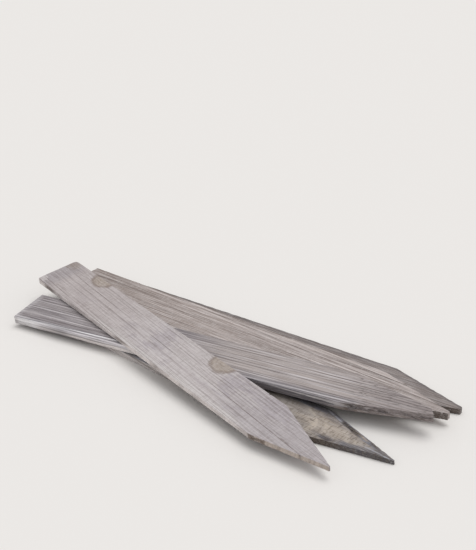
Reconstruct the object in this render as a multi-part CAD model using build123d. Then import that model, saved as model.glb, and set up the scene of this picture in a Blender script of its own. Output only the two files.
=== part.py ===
from build123d import *
import os
from dataclasses import dataclass
from itertools import combinations
from math import atan2, cos, degrees, radians, sin, tan

# A loose pile of five pointed wooden plant label stakes, lying as they were put down.
# +X is to the right, +Y to the back, and the pile stands on Z = 0. In a stake's own
# frame +X runs to its point, +Y to its far side, and Z = 0 is its underside.
# Lengths are millimetres, angles degrees.

# What all the stakes share
EDGE_EASE = 0.4            # rounding that the weather has given every long edge
LAY_GAP = 0.25             # air left where one stake lies on another
LEAST_FOOTING = 0.5        # area in mm2 below which three supports count as a line

# Top stake: crosses all the others
TOP_LENGTH = 308.5
TOP_WIDTH = 34.6
TOP_THICKNESS = 3.8
TOP_FAR_TAPER = 61.1
TOP_NEAR_TAPER = 55.5
TOP_TIP_WIDTH = 1.2
TOP_TIP_OFFSET = -1.8
TOP_TIP_SKEW = 0.0
TOP_END_SKEW = 0.8
TOP_CORNER_RADIUS = 3.0
TOP_HEADING = -51.7
TOP_X = -40.7
TOP_Y = -21.4
TOP_SPLIT_LENGTH = 6.5     # split that has opened in the near side of the point
TOP_SPLIT_HEIGHT = 1.5
TOP_SPLIT_DEPTH = 1.4
TOP_SPLIT_SET = 0.8        # its distance past the shoulder
TOP_NICK_BACK = 15.5       # nick in the far edge, measured back from its shoulder
TOP_NICK_WIDTH = 2.0
TOP_NICK_DEPTH = 0.8

# Left stake: narrower and thicker than the rest
LEFT_LENGTH = 313.9
LEFT_WIDTH = 31.8
LEFT_THICKNESS = 6.1
LEFT_FAR_TAPER = 58.0
LEFT_NEAR_TAPER = 55.0
LEFT_TIP_WIDTH = 6.0
LEFT_TIP_OFFSET = -2.5
LEFT_TIP_SKEW = 30.0
LEFT_END_SKEW = 4.0
LEFT_CORNER_RADIUS = 0.8
LEFT_HEADING = -29.2
LEFT_X = -15.7
LEFT_Y = -16.2
LEFT_CHECK_LENGTH = 48.0   # drying check that slants down the near edge
LEFT_CHECK_HEIGHT = 0.7
LEFT_CHECK_DEPTH = 1.8
LEFT_CHECK_BACK = 6.0      # its deep end, measured back from the shoulder
LEFT_CHECK_DROP = 3.0
LEFT_SPLIT_LENGTH = 26.0   # split between the layers of the point
LEFT_SPLIT_HEIGHT = 1.2
LEFT_SPLIT_DEPTH = 2.4
LEFT_CHIP_LENGTH = 7.0     # chips knocked out of the near side of the point
LEFT_CHIP_HEIGHT = 2.6
LEFT_CHIP_DEPTH = 1.2
LEFT_CHIP_SET = 2.5        # first chip's distance past the shoulder
LEFT_CHIP_PITCH = 19.5
LEFT_CHIP_COUNT = 2

# Right stake: lies flat on the rear stake
RIGHT_LENGTH = 319.0
RIGHT_WIDTH = 38.9
RIGHT_THICKNESS = 5.3
RIGHT_FAR_TAPER = 58.2
RIGHT_NEAR_TAPER = 58.0
RIGHT_TIP_WIDTH = 3.0
RIGHT_TIP_OFFSET = 0.3
RIGHT_TIP_SKEW = 0.0
RIGHT_END_SKEW = -0.8
RIGHT_CORNER_RADIUS = 1.0
RIGHT_HEADING = -37.7
RIGHT_X = 5.2
RIGHT_Y = 11.7

# Front stake: lies on the floor
FRONT_LENGTH = 302.0
FRONT_WIDTH = 40.0
FRONT_THICKNESS = 4.2
FRONT_FAR_TAPER = 62.5
FRONT_NEAR_TAPER = 72.0
FRONT_TIP_WIDTH = 1.3
FRONT_TIP_OFFSET = 0.8
FRONT_TIP_SKEW = 0.0
FRONT_END_SKEW = 0.0
FRONT_CORNER_RADIUS = 1.2
FRONT_HEADING = -42.4
FRONT_X = -19.0
FRONT_Y = -26.7
FRONT_WANE_WIDTH = 6.5     # slope that the bark left along the far side
FRONT_WANE_DEPTH = 1.2

# Rear stake: lies on the floor beside the front stake, fanned out from it
REAR_LENGTH = 302.0
REAR_WIDTH = 39.1
REAR_THICKNESS = 4.4
REAR_FAR_TAPER = 57.8
REAR_NEAR_TAPER = 60.8
REAR_TIP_WIDTH = 3.4
REAR_TIP_OFFSET = -1.2
REAR_TIP_SKEW = 0.0
REAR_END_SKEW = 0.0
REAR_CORNER_RADIUS = 1.2
REAR_SPREAD = 6.9          # angle between the two stakes on the floor
REAR_SIDE_GAP = 1.0        # between its near sawn corner and the front stake's far edge
REAR_SET_ON = 2.5          # that corner's distance past the front stake's sawn end


@dataclass
class Stake:
    """A stake's cut sizes, and where the middle of its length lies in the pile seen from above."""
    length: float
    width: float
    thickness: float
    far_taper: float
    near_taper: float
    tip_width: float
    tip_offset: float
    tip_skew: float
    end_skew: float
    corner_radius: float
    heading: float
    x: float
    y: float

    @property
    def far_shoulder(self):
        return Vector(self.length / 2 - self.far_taper, self.width / 2)

    @property
    def near_shoulder(self):
        return Vector(self.length / 2 - self.near_taper, -self.width / 2)

    @property
    def tip_corners(self):
        """The near and the far corner of the blunt tip, the near one ahead where the tip is skewed."""
        lean = tan(radians(self.tip_skew)) * self.tip_width / 2
        near = Vector(self.length / 2 + lean, self.tip_offset - self.tip_width / 2)
        far = Vector(self.length / 2 - lean, self.tip_offset + self.tip_width / 2)
        return near, far

    @property
    def sawn_corners(self):
        """The near and the far corner of the sawn end, which is a little out of square."""
        lean = tan(radians(self.end_skew)) * self.width / 2
        near = Vector(-self.length / 2 - lean, -self.width / 2)
        far = Vector(-self.length / 2 + lean, self.width / 2)
        return near, far

    def outline(self):
        """The stake's flat outline, in its own frame."""
        near_end, far_end = self.sawn_corners
        near_tip, far_tip = self.tip_corners
        points = [near_end, self.near_shoulder, near_tip, far_tip, self.far_shoulder, far_end]
        return make_face(Polyline(*points, close=True))

    def plan(self):
        """The outline as it lies in the pile, seen from above."""
        return Pos(self.x, self.y) * Rot(Z=self.heading) * self.outline()

    def blank(self):
        """The stake as it was cut, with sharp long edges."""
        outline = self.outline()
        sawn_end = outline.vertices().sort_by(Axis.X)[:2]
        return extrude(fillet(sawn_end, self.corner_radius), self.thickness)


def eased(stake_solid):
    """Round the edges of the top and underside, as weather and handling do."""
    rims = stake_solid.faces().sort_by(Axis.Z)
    return fillet(rims[0].edges() + rims[-1].edges(), EDGE_EASE)


def through(stake, profile):
    """A cutter with this profile that reaches through the stake's whole thickness."""
    return Pos(Z=-stake.thickness) * extrude(profile, 3 * stake.thickness)


def lens(start, end, width):
    """Lens-shaped face between two points, bounded by two arcs."""
    along = (end - start).normalized()
    bulge = Vector(-along.Y, along.X) * (width / 2)
    middle = (start + end) / 2
    return make_face(ThreePointArc(start, middle + bulge, end) + ThreePointArc(end, middle - bulge, start))


def near_side(stake):
    """Direction of the point's near side, from the shoulder to the tip, and the direction into the wood."""
    along = (stake.tip_corners[0] - stake.near_shoulder).normalized()
    return along, Vector(-along.Y, along.X)


def hollow_in_point(stake, distance, length, height, depth):
    """Lens-shaped hollow in the point's near side, half way up it and this far past the shoulder."""
    along, inward = near_side(stake)
    start = stake.near_shoulder + along * distance + Vector(0, 0, stake.thickness / 2)
    mouth = Plane(start, x_dir=along, z_dir=inward) * lens(Vector(0, 0), Vector(length, 0), height)
    return extrude(mouth, depth, both=True)


def nick_in_far_edge(stake):
    """Small three-cornered nick in the far edge."""
    on_edge = stake.far_shoulder - Vector(TOP_NICK_BACK)
    out = Vector(0, TOP_NICK_DEPTH)
    span = Vector(TOP_NICK_WIDTH)
    corners = [on_edge - span + out, on_edge - out, on_edge + span + out]
    return through(stake, make_face(Polyline(*corners, close=True)))


def wedge(length, depth, height):
    """Flat wedge that deepens along +X, from nothing to depth on the +Y side, and sticks out as far."""
    corners = [(0, -depth), (length, -depth), (length, depth)]
    return extrude(make_face(Polyline(*corners, close=True)), height)


def check_in_near_edge(stake):
    """Drying check that starts at the top of the near edge and slants down to the shoulder."""
    start = stake.near_shoulder - Vector(LEFT_CHECK_LENGTH + LEFT_CHECK_BACK)
    slant = Rot(Y=degrees(atan2(LEFT_CHECK_DROP, LEFT_CHECK_LENGTH)))
    place = Pos(start.X, start.Y, stake.thickness - EDGE_EASE - LEFT_CHECK_HEIGHT)
    return place * slant * wedge(LEFT_CHECK_LENGTH, LEFT_CHECK_DEPTH, LEFT_CHECK_HEIGHT)


def split_in_point(stake):
    """Split between the layers of the point, open at the tip and along its near side."""
    along, _ = near_side(stake)
    start = stake.tip_corners[0] - along * LEFT_SPLIT_LENGTH
    turn = Rot(Z=degrees(atan2(along.Y, along.X)))
    place = Pos(start.X, start.Y, (stake.thickness - LEFT_SPLIT_HEIGHT) / 2)
    return place * turn * wedge(LEFT_SPLIT_LENGTH + stake.tip_width, LEFT_SPLIT_DEPTH, LEFT_SPLIT_HEIGHT)


def chips_off_point(stake):
    """Row of chips out of the point's near side."""
    distances = [LEFT_CHIP_SET + LEFT_CHIP_PITCH * number for number in range(LEFT_CHIP_COUNT)]
    return [hollow_in_point(stake, distance, LEFT_CHIP_LENGTH, LEFT_CHIP_HEIGHT, LEFT_CHIP_DEPTH)
            for distance in distances]


def with_wane(stake, solid):
    """Slope the top of the far side, along the body and the point."""
    runs = ((stake.sawn_corners[1], stake.far_shoulder), (stake.far_shoulder, stake.tip_corners[1]))
    for start, end in runs:
        along = (end - start).normalized()
        outward = Vector(-along.Y, along.X)
        slope = outward * FRONT_WANE_DEPTH + Vector(0, 0, FRONT_WANE_WIDTH)
        edge = start + Vector(0, 0, stake.thickness - FRONT_WANE_DEPTH)
        solid = split(solid, Plane(edge, x_dir=along, z_dir=slope), keep=Keep.BOTTOM)
    return solid


def upward_normal(corners):
    """Normal of the plane through three points, on its upper side."""
    a, b, c = corners
    normal = (b - a).cross(c - a)
    return normal if normal.Z > 0 else -normal


def height_over(spot, point, normal):
    """Height over a spot of the floor of the sloping plane through point with this normal."""
    return point.Z - (normal.X * (spot.X - point.X) + normal.Y * (spot.Y - point.Y)) / normal.Z


def surrounds(corners, spot):
    """Whether three supports, not in one line, stand round a spot seen from above."""
    a, b, c = corners
    turns = [(q - p).cross(spot - p).Z for p, q in ((a, b), (b, c), (c, a))]
    same_way = min(turns) >= 0 or max(turns) <= 0
    return same_way and abs(sum(turns)) > 2 * LEAST_FOOTING


def resting_plane(stake, below):
    """Underside of a stake that has come to rest on the floor and on the stakes below it.

    It touches three of the points that can hold it up: its own corners on the floor, and the
    corners of its overlap with each stake below. They are the three round its centre of mass
    whose plane is highest there.
    """
    plan = stake.plan()
    balance = plan.center()
    supports = [Vector(v.X, v.Y, 0) for v in plan.vertices()]
    for other, underside in below:
        upper = underside.offset(other.thickness + LAY_GAP)
        overlap = plan & other.plan()
        for corner in overlap.vertices() if overlap else []:
            height = height_over(corner, upper.origin, upper.z_dir)
            supports.append(Vector(corner.X, corner.Y, height))
    footings = [three for three in combinations(supports, 3) if surrounds(three, balance)]
    footing = max(footings, key=lambda three: height_over(balance, three[0], upward_normal(three)))
    normal = upward_normal(footing).normalized()
    ahead = Vector(cos(radians(stake.heading)), sin(radians(stake.heading)))
    climb = -(normal.X * ahead.X + normal.Y * ahead.Y) / normal.Z
    middle = Vector(stake.x, stake.y)
    middle += Vector(0, 0, height_over(middle, footing[0], normal))
    return Plane(middle, x_dir=ahead + Vector(0, 0, climb), z_dir=normal)


top = Stake(TOP_LENGTH, TOP_WIDTH, TOP_THICKNESS, TOP_FAR_TAPER, TOP_NEAR_TAPER, TOP_TIP_WIDTH,
            TOP_TIP_OFFSET, TOP_TIP_SKEW, TOP_END_SKEW, TOP_CORNER_RADIUS, TOP_HEADING, TOP_X, TOP_Y)
left = Stake(LEFT_LENGTH, LEFT_WIDTH, LEFT_THICKNESS, LEFT_FAR_TAPER, LEFT_NEAR_TAPER, LEFT_TIP_WIDTH,
             LEFT_TIP_OFFSET, LEFT_TIP_SKEW, LEFT_END_SKEW, LEFT_CORNER_RADIUS, LEFT_HEADING, LEFT_X, LEFT_Y)
right = Stake(RIGHT_LENGTH, RIGHT_WIDTH, RIGHT_THICKNESS, RIGHT_FAR_TAPER, RIGHT_NEAR_TAPER,
              RIGHT_TIP_WIDTH, RIGHT_TIP_OFFSET, RIGHT_TIP_SKEW, RIGHT_END_SKEW, RIGHT_CORNER_RADIUS,
              RIGHT_HEADING, RIGHT_X, RIGHT_Y)
front = Stake(FRONT_LENGTH, FRONT_WIDTH, FRONT_THICKNESS, FRONT_FAR_TAPER, FRONT_NEAR_TAPER,
              FRONT_TIP_WIDTH, FRONT_TIP_OFFSET, FRONT_TIP_SKEW, FRONT_END_SKEW, FRONT_CORNER_RADIUS,
              FRONT_HEADING, FRONT_X, FRONT_Y)
rear = Stake(REAR_LENGTH, REAR_WIDTH, REAR_THICKNESS, REAR_FAR_TAPER, REAR_NEAR_TAPER, REAR_TIP_WIDTH,
             REAR_TIP_OFFSET, REAR_TIP_SKEW, REAR_END_SKEW, REAR_CORNER_RADIUS,
             FRONT_HEADING + REAR_SPREAD, 0, 0)

# The rear stake's near sawn corner is set off the front stake's far edge
corner_in_front = Vector(REAR_SET_ON - FRONT_LENGTH / 2, FRONT_WIDTH / 2 + REAR_SIDE_GAP)
corner_spot = Vector(front.x, front.y) + corner_in_front.rotate(Axis.Z, front.heading)
rear_middle = corner_spot - rear.sawn_corners[0].rotate(Axis.Z, rear.heading)
rear.x, rear.y = rear_middle.X, rear_middle.Y

# Each stake comes to rest on those laid down before it
laid = []
for stake in (front, rear, right, left, top):
    laid.append((stake, resting_plane(stake, laid)))
undersides = {id(stake): plane for stake, plane in laid}

left_cuts = [check_in_near_edge(left), split_in_point(left), *chips_off_point(left)]
top_split = hollow_in_point(top, TOP_SPLIT_SET, TOP_SPLIT_LENGTH, TOP_SPLIT_HEIGHT, TOP_SPLIT_DEPTH)
top_cuts = [top_split, nick_in_far_edge(top)]
solids = {
    "front_stake": (front, with_wane(front, eased(front.blank()))),
    "rear_stake": (rear, eased(rear.blank())),
    "right_stake": (right, eased(right.blank())),
    "left_stake": (left, eased(left.blank()) - left_cuts),
    "top_stake": (top, eased(top.blank()) - top_cuts),
}
pile = {name: undersides[id(stake)].location * solid for name, (stake, solid) in solids.items()}

# The origin is the middle of the pile's box, on the floor
box = Compound(children=[solid.solids()[0] for solid in pile.values()]).bounding_box()
to_origin = Pos(-(box.min.X + box.max.X) / 2, -(box.min.Y + box.max.Y) / 2, -box.min.Z)

os.makedirs("parts", exist_ok=True)
for name, solid in pile.items():
    export_step(to_origin * solid, f"parts/{name}.step")
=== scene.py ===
"""Dresses a loose pile of five weathered wooden plant label stakes and sets up their studio view."""

import logging
import math
from dataclasses import asdict, dataclass, field, fields
from enum import Enum
from functools import partial, reduce
from typing import Any, ClassVar

import bmesh
import bpy
import numpy as np
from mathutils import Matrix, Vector
from mathutils.bvhtree import BVHTree
from mathutils.geometry import convex_hull_2d


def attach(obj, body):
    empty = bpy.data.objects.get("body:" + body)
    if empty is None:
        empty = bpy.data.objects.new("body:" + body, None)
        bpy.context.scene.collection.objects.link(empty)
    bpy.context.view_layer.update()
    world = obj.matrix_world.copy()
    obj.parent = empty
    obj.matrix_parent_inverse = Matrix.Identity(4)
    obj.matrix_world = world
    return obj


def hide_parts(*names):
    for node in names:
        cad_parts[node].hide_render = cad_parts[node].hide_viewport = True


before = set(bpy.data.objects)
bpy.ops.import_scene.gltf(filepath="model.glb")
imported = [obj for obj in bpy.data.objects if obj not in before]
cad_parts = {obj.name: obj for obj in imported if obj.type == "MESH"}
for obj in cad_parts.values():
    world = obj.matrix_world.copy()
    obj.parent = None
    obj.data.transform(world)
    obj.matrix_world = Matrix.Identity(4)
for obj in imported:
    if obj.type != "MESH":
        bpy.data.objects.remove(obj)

LOG = logging.getLogger("label_stakes")

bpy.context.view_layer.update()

MM = 0.001
FULL_TONE = 255.0
QUARTER_TURN = math.pi / 2.0

NUMBER = "NodeSocketFloat"
VECTOR = "NodeSocketVector"
GEOMETRY = "NodeSocketGeometry"

Names = tuple[str, ...]
Socket = bpy.types.NodeSocket


@dataclass(frozen=True)
class Colour:
    """A colour as it is seen, in 0 to 255 steps of red, green and blue."""

    red: float
    green: float
    blue: float

    def linear(self) -> tuple[float, float, float, float]:
        """Gives the colour as the linear values that a shader takes.

        Returns:
            Red, green, blue and full cover.
        """
        toe, toe_slope, offset, power = 0.04045, 12.92, 0.055, 2.4
        values = []
        for tone in (self.red, self.green, self.blue):
            share = tone / FULL_TONE
            if share <= toe:
                values.append(share / toe_slope)
            else:
                values.append(((share + offset) / (1.0 + offset)) ** power)
        return (values[0], values[1], values[2], 1.0)


class Graph:
    """Lays out the nodes of one shader or geometry tree with short calls."""

    NOISE_MIDDLE: ClassVar[float] = 0.5
    BOTH_WAYS: ClassVar[float] = 2.0
    MIX_FIRST: ClassVar[int] = 6
    MIX_SECOND: ClassVar[int] = 7
    MIX_RESULT: ClassVar[int] = 2

    def __init__(self, tree: bpy.types.NodeTree) -> None:
        """Keeps the tree that the calls add to."""
        self.tree = tree

    @classmethod
    def opened(cls, title: str, kind: str, inputs: dict[str, str], outputs: dict[str, str]) -> "Graph":
        """Starts a node group with its outer sockets in place.

        Args:
            title: The group's name.
            kind: The tree's type, shader or geometry.
            inputs: The types of the sockets on the way in, by name.
            outputs: The types of the sockets on the way out, by name.

        Returns:
            A graph over the new, still empty group.
        """
        tree = bpy.data.node_groups.new(title, kind)
        for way, sockets in (("INPUT", inputs), ("OUTPUT", outputs)):
            for name, socket_kind in sockets.items():
                tree.interface.new_socket(name, in_out=way, socket_type=socket_kind)
        return cls(tree)

    def feed(self, target: Socket, value: Any) -> None:
        """Links a socket into an input, or sets the input's own value.

        Args:
            target: The input.
            value: A socket, or a plain value.
        """
        if isinstance(value, bpy.types.NodeSocket):
            self.tree.links.new(value, target)
        else:
            target.default_value = value

    def node(self, kind: str, *values: Any, **settings: Any) -> bpy.types.Node:
        """Adds a node.

        Args:
            kind: The node's type name.
            *values: Sockets or values for its inputs, in order.
            **settings: Properties of the node itself.

        Returns:
            The new node.
        """
        node = self.tree.nodes.new(kind)
        for name, value in settings.items():
            setattr(node, name, value)
        for target, value in zip(node.inputs, values):
            self.feed(target, value)
        return node

    def wire(self, node: bpy.types.Node, values: dict[str, Any]) -> bpy.types.Node:
        """Feeds a node's inputs by their names.

        Args:
            node: The node.
            values: Sockets or plain values, by the inputs' names.

        Returns:
            The same node.
        """
        for name, value in values.items():
            self.feed(node.inputs[name], value)
        return node

    def math(self, operation: str, *values: Any) -> Socket:
        """Returns the result of a Math node over sockets or numbers."""
        return self.node("ShaderNodeMath", *values, operation=operation).outputs[0]

    def total(self, *values: Any) -> Socket:
        """Returns the sum of several sockets or numbers."""
        return reduce(partial(self.math, "ADD"), values)

    def product(self, *values: Any) -> Socket:
        """Returns the product of several sockets or numbers."""
        return reduce(partial(self.math, "MULTIPLY"), values)

    def squares(self, first: Socket, second: Socket) -> Socket:
        """Returns the sum of two values' squares."""
        return self.total(self.product(first, first), self.product(second, second))

    def vector(self, operation: str, *values: Any) -> bpy.types.Node:
        """Returns a Vector Math node, whose first output is a vector and second a number."""
        return self.node("ShaderNodeVectorMath", *values, operation=operation)

    def away(self, place: Socket, centre: Socket) -> tuple[Socket, ...]:
        """Returns the three components of the way from a centre to a place."""
        return self.parts(self.vector("SUBTRACT", place, centre).outputs[0])

    def parts(self, vector: Socket) -> tuple[Socket, ...]:
        """Returns a vector's three components."""
        return tuple(self.node("ShaderNodeSeparateXYZ", vector).outputs)

    def joined(self, first: Any, second: Any, third: Any) -> Socket:
        """Returns a vector made of three components."""
        return self.node("ShaderNodeCombineXYZ", first, second, third).outputs[0]

    def ramp(self, value: Any, low: Any, high: Any, start: Any = 0.0, stop: Any = 1.0) -> Socket:
        """Adds a smooth step between two limits.

        Args:
            value: What is measured.
            low: Where the step starts.
            high: Where it is complete.
            start: The result below the step.
            stop: The result above the step.

        Returns:
            The stepped value's socket.
        """
        limits = (value, low, high, start, stop)
        return self.node("ShaderNodeMapRange", *limits, interpolation_type="SMOOTHSTEP").outputs[0]

    def fall(self, value: Any, low: Any, high: Any) -> Socket:
        """Returns a smooth drop from 1 to 0 between two limits."""
        return self.ramp(value, low, high, 1.0, 0.0)

    def noise(self, place: Any, detail: float = 2.0, roughness: float = 0.5, along: bool = False) -> Socket:
        """Adds soft noise with features about one unit across.

        Args:
            place: The position, or the distance along a line, already in the units of the noise.
            detail: How many finer layers lie on the first.
            roughness: How strong the finer layers are.
            along: Whether the place is a distance along a line.

        Returns:
            A value that varies about one half.
        """
        node = self.node("ShaderNodeTexNoise", noise_dimensions="1D" if along else "3D")
        values = {"W" if along else "Vector": place, "Scale": 1.0, "Detail": detail, "Roughness": roughness}
        return self.wire(node, values).outputs[0]

    def from_middle(self, cloud: Socket) -> Socket:
        """Returns how far noise is from its middle value."""
        return self.math("SUBTRACT", cloud, self.NOISE_MIDDLE)

    def swing(self, cloud: Socket, reach: Any) -> Socket:
        """Returns noise as a shift of up to the reach either way."""
        return self.product(self.from_middle(cloud), reach, self.BOTH_WAYS)

    def mix(self, share: Any, first: Any, second: Any) -> Socket:
        """Mixes two colours.

        Args:
            share: How much of the second colour shows.
            first: The first colour.
            second: The second colour.

        Returns:
            The mixed colour's socket.
        """
        node = self.node("ShaderNodeMix", share, data_type="RGBA", clamp_factor=True)
        self.feed(node.inputs[self.MIX_FIRST], first)
        self.feed(node.inputs[self.MIX_SECOND], second)
        return node.outputs[self.MIX_RESULT]

    def painted(self, colour: Socket, mask: Socket, strength: float, paint: Colour) -> Socket:
        """Returns a colour with a paint laid over it through a mask."""
        return self.mix(self.product(mask, strength), colour, paint.linear())

    def mark(self, name: str) -> bpy.types.Node:
        """Returns a shader node that reads one of the mesh's own attributes."""
        return self.node("ShaderNodeAttribute", attribute_type="GEOMETRY", attribute_name=name)


@dataclass(frozen=True)
class Clouds:
    """Soft noise that is longer along the grain than across it. Lengths are in mm."""

    length: Any
    breadth: Any
    detail: float = 2.0
    roughness: float = 0.5

    def over(self, graph: Graph, place: Socket, seed: Any) -> Socket:
        """Lays the noise over a stake.

        Args:
            graph: The nodes of a shader or geometry tree.
            place: Distance along, across and up the stake, in mm.
            seed: A shift that makes each use differ.

        Returns:
            A value that varies about one half.
        """
        size = graph.joined(self.length, self.breadth, self.breadth)
        scaled = graph.vector("DIVIDE", place, size).outputs[0]
        shifted = graph.vector("ADD", scaled, graph.joined(seed, seed, seed)).outputs[0]
        return graph.noise(shifted, self.detail, self.roughness)


@dataclass(frozen=True)
class Step:
    """Two levels of a value, between which what it stands for comes or goes."""

    start: float
    full: float

    def rise(self, graph: Graph, value: Socket, least: float = 0.0) -> Socket:
        """Returns the way from the first level to the second, from the least to 1."""
        return graph.ramp(value, self.start, self.full, least)

    def fall(self, graph: Graph, value: Socket) -> Socket:
        """Returns the way from the first level to the second, from 1 to 0."""
        return graph.fall(value, self.start, self.full)


@dataclass(frozen=True)
class Cover:
    """The level above which noise shows, lower the more it is to cover."""

    bare: float
    reach: float
    softness: float

    def shown(self, graph: Graph, cloud: Socket, cover: Socket) -> Socket:
        """Returns the mask of what shows at a cover from 0 to 1."""
        level = graph.math("SUBTRACT", self.bare, graph.product(cover, self.reach))
        return graph.ramp(cloud, level, graph.total(level, self.softness))


@dataclass(frozen=True)
class LateWood:
    """The dark outer line of each growth ring, uneven in spacing and in weight."""

    line: Step = Step(0.48, 0.72)
    line_drop: float = 0.86
    drift_rate: float = 0.8
    drift_detail: float = 1.0
    drift: float = 0.25
    lightest: float = 0.35
    pale_every: float = 2.0
    paler: float = 0.45

    def lines(self, graph: Graph, ring: Socket, seed: Socket) -> Socket:
        """Draws the lines over a count of rings.

        Args:
            graph: The nodes of a shader or geometry tree.
            ring: The number of rings from the tree's middle.
            seed: A shift that makes each stake differ.

        Returns:
            How strongly a line shows, from 0 to 1.
        """
        drifting = graph.total(graph.product(ring, self.drift_rate), seed)
        cloud = graph.noise(drifting, self.drift_detail, along=True)
        count = graph.total(ring, graph.swing(cloud, self.drift))
        phase = graph.math("FRACT", count)
        whole = graph.math("FLOOR", count)
        chance = graph.node("ShaderNodeTexWhiteNoise", noise_dimensions="1D")
        graph.wire(chance, {"W": graph.total(whole, seed)})
        weight = graph.ramp(chance.outputs["Value"], 0.0, 1.0, self.lightest, 1.0)
        second = graph.math("FLOORED_MODULO", whole, self.pale_every)
        pale = graph.ramp(second, 0.0, 1.0, 1.0, self.paler)
        rise, drop = self.line.rise(graph, phase), graph.fall(phase, self.line_drop, 1.0)
        return graph.product(rise, drop, weight, pale)


@dataclass(frozen=True)
class WornRings:
    """The soft wood beside each late-wood line, worn down in some places and held in others."""

    soft_wood: LateWood = LateWood(Step(0.12, 0.50), 0.56)
    holds: Clouds = Clouds(48.0, 7.0)
    hold: Step = Step(0.30, 0.66)

    def grooves(self, graph: Graph, place: Socket, ring: Socket, seed: Socket) -> Socket:
        """Draws the grooves that the weather has worn.

        Args:
            graph: The nodes of a shader or geometry tree.
            place: The place on the stake, in mm.
            ring: The number of rings from the tree's middle.
            seed: A shift that makes each stake differ.

        Returns:
            How deep a groove is, from 0 to 1.
        """
        hold = self.hold.rise(graph, self.holds.over(graph, place, seed))
        return graph.product(self.soft_wood.lines(graph, ring, seed), hold)


LATE_WOOD = LateWood()
WORN_RINGS = WornRings()


class Effect:
    """A shader effect that several finishes share, kept as one node group."""

    title: ClassVar[str]
    vectors: ClassVar[Names] = ("frame",)
    numbers: ClassVar[Names]
    results: ClassVar[Names] = ("mask",)

    def lay_out(self, graph: Graph, given: Any) -> dict[str, Socket]:
        """Builds the effect's nodes and returns its results by name."""
        raise NotImplementedError

    def group(self) -> bpy.types.NodeTree:
        """Gives the effect's node group, built the first time it is asked for.

        Returns:
            The shader node group.
        """
        known = bpy.data.node_groups.get(self.title)
        if known is not None:
            return known
        inputs = dict.fromkeys(self.vectors, VECTOR) | dict.fromkeys(self.numbers, NUMBER)
        graph = Graph.opened(self.title, "ShaderNodeTree", inputs, dict.fromkeys(self.results, NUMBER))
        entry = graph.node("NodeGroupInput")
        leave = graph.node("NodeGroupOutput")
        graph.wire(leave, self.lay_out(graph, entry.outputs))
        return graph.tree

    def place(self, graph: Graph, **values: Any) -> Any:
        """Puts the effect into a material and returns its results by name."""
        return graph.wire(graph.node("ShaderNodeGroup", node_tree=self.group()), values).outputs

    def stretch(self, graph: Graph, given: Any) -> tuple[Socket, Socket]:
        """Keeps an effect to a stretch of the stake's length.

        Args:
            graph: The group's nodes.
            given: The group's inputs, by name.

        Returns:
            The masks that open and close the stretch.
        """
        along = graph.parts(given["frame"])[0]
        before = graph.math("SUBTRACT", given["start"], given["fade"])
        after = graph.total(given["end"], given["fade"])
        return graph.ramp(along, before, given["start"]), graph.fall(along, given["end"], after)


@dataclass(frozen=True)
class GrainLines(Effect):
    """Late-wood lines, hair lines, fibre streaks, worn grooves and slow changes of tone."""

    title: ClassVar[str] = "grain_lines"
    numbers: ClassVar[Names] = ("ring", "seed")
    results: ClassVar[Names] = ("line", "hair", "fibre", "groove", "tone")

    hair_rate: float = 2.9
    hair: Step = Step(0.52, 0.68)
    fades: Clouds = Clouds(42.0, 2.6)
    fade: Step = Step(0.30, 0.62)
    fade_least: float = 0.30
    fibres: Clouds = Clouds(16.0, 0.42, 3.0, 0.62)
    tone_rate: float = 0.38
    tone: Step = Step(0.34, 0.66)

    def lay_out(self, graph: Graph, given: Any) -> dict[str, Socket]:
        """Builds the lines from the ring count and breaks them up along the grain.

        Args:
            graph: The group's nodes.
            given: The group's inputs, by name.

        Returns:
            The line, hair, fibre, groove and tone values.
        """
        place, ring, seed = given["frame"], given["ring"], given["seed"]
        shifted = graph.total(ring, seed)
        fade = self.fade.rise(graph, self.fades.over(graph, place, seed), self.fade_least)
        hair = self.hair.rise(graph, graph.noise(graph.product(shifted, self.hair_rate), along=True))
        tone = self.tone.rise(graph, graph.noise(graph.product(shifted, self.tone_rate), along=True))
        return {
            "line": graph.product(LATE_WOOD.lines(graph, ring, seed), fade),
            "hair": graph.product(hair, fade),
            "fibre": self.fibres.over(graph, place, seed),
            "groove": WORN_RINGS.grooves(graph, place, ring, seed),
            "tone": tone,
        }


@dataclass(frozen=True)
class EdgeStainAndShading(Effect):
    """A stain or painted shading that follows an edge, as deep as its breadth, with a ragged inner line."""

    title: ClassVar[str] = "edge_stain"
    numbers: ClassVar[Names] = ("distance", "breadth", "inner", "ragged", "start", "end", "fade", "seed")

    waver: Clouds = Clouds(22.0, 2.2)

    def lay_out(self, graph: Graph, given: Any) -> dict[str, Socket]:
        """Builds the mask from the distance to the edge and the place along the stake.

        Args:
            graph: The group's nodes.
            given: The group's inputs, by name.

        Returns:
            The stain's mask.
        """
        waver = self.waver.over(graph, given["frame"], given["seed"])
        distance = graph.total(given["distance"], graph.swing(waver, given["ragged"]))
        inner = graph.product(given["breadth"], given["inner"])
        depth = graph.fall(distance, inner, given["breadth"])
        return {"mask": graph.product(depth, *self.stretch(graph, given))}


@dataclass(frozen=True)
class WeatherPatch(Effect):
    """Cloudy patches that are longer along the grain than across it."""

    title: ClassVar[str] = "weather_patch"
    numbers: ClassVar[Names] = ("length", "breadth", "cover", "start", "end", "fade", "seed")

    detail: float = 4.0
    roughness: float = 0.6
    cover: Cover = Cover(0.72, 0.5, 0.2)

    def lay_out(self, graph: Graph, given: Any) -> dict[str, Socket]:
        """Builds the mask from stretched noise, cut off by the cover.

        Args:
            graph: The group's nodes.
            given: The group's inputs, by name.

        Returns:
            The patches' mask.
        """
        clouds = Clouds(given["length"], given["breadth"], self.detail, self.roughness)
        cloud = clouds.over(graph, given["frame"], given["seed"])
        patch = self.cover.shown(graph, cloud, given["cover"])
        return {"mask": graph.product(patch, *self.stretch(graph, given))}


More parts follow.
